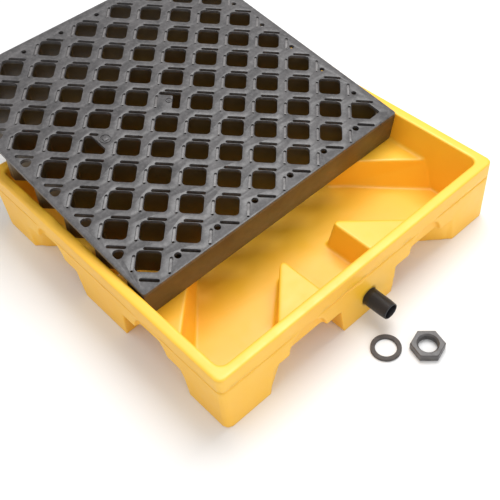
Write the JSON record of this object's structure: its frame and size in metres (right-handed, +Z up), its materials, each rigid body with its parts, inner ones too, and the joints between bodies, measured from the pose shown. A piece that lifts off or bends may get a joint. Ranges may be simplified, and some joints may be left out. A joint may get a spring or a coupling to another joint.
{
  "type": "spill containment pallet",
  "caption": "Square moulded sump tray on feet with a lift-out grate deck, leaning on its rear rim, and a drain fitting with its loose seal ring and lock nut.",
  "frame": {"origin": "middle of the sump tray's flat underside, on the floor", "axes": "+X along the drain side, to the right when facing the drain; +Y from the drain side towards the back; +Z up"},
  "size_m": [0.667, 0.9979, 0.2415],
  "materials": {
    "tray_plastic": "satin moulded polyethylene",
    "deck_plastic": "scuffed moulded polyethylene",
    "fitting_plastic": "satin polypropylene",
    "seal_rubber": "matt rubber",
    "nut_plastic": "satin polypropylene"
  },
  "bodies": {
    "tray": {"sump_tray": "tray_plastic"},
    "deck": {"grate_deck": "deck_plastic"},
    "fitting": {"drain_fitting": "fitting_plastic"},
    "ring": {"seal_ring": "seal_rubber"},
    "nut": {"lock_nut": "nut_plastic"}
  },
  "joints": [
    {"name": "deck_lift", "type": "slide", "parent": "tray", "child": "deck", "axis": [0, 0, 1], "range_m": [0, 0.3]},
    {"name": "fitting_withdraw", "type": "slide", "parent": "tray", "child": "fitting", "axis": [0, 1, 0], "range_m": [0, 0.075]},
    {"name": "ring_lift", "type": "slide", "parent": "tray", "child": "ring", "axis": [0, 0, 1], "range_m": [0, 0.15]},
    {"name": "nut_lift", "type": "slide", "parent": "tray", "child": "nut", "axis": [0, 0, 1], "range_m": [0, 0.15]}
  ]
}
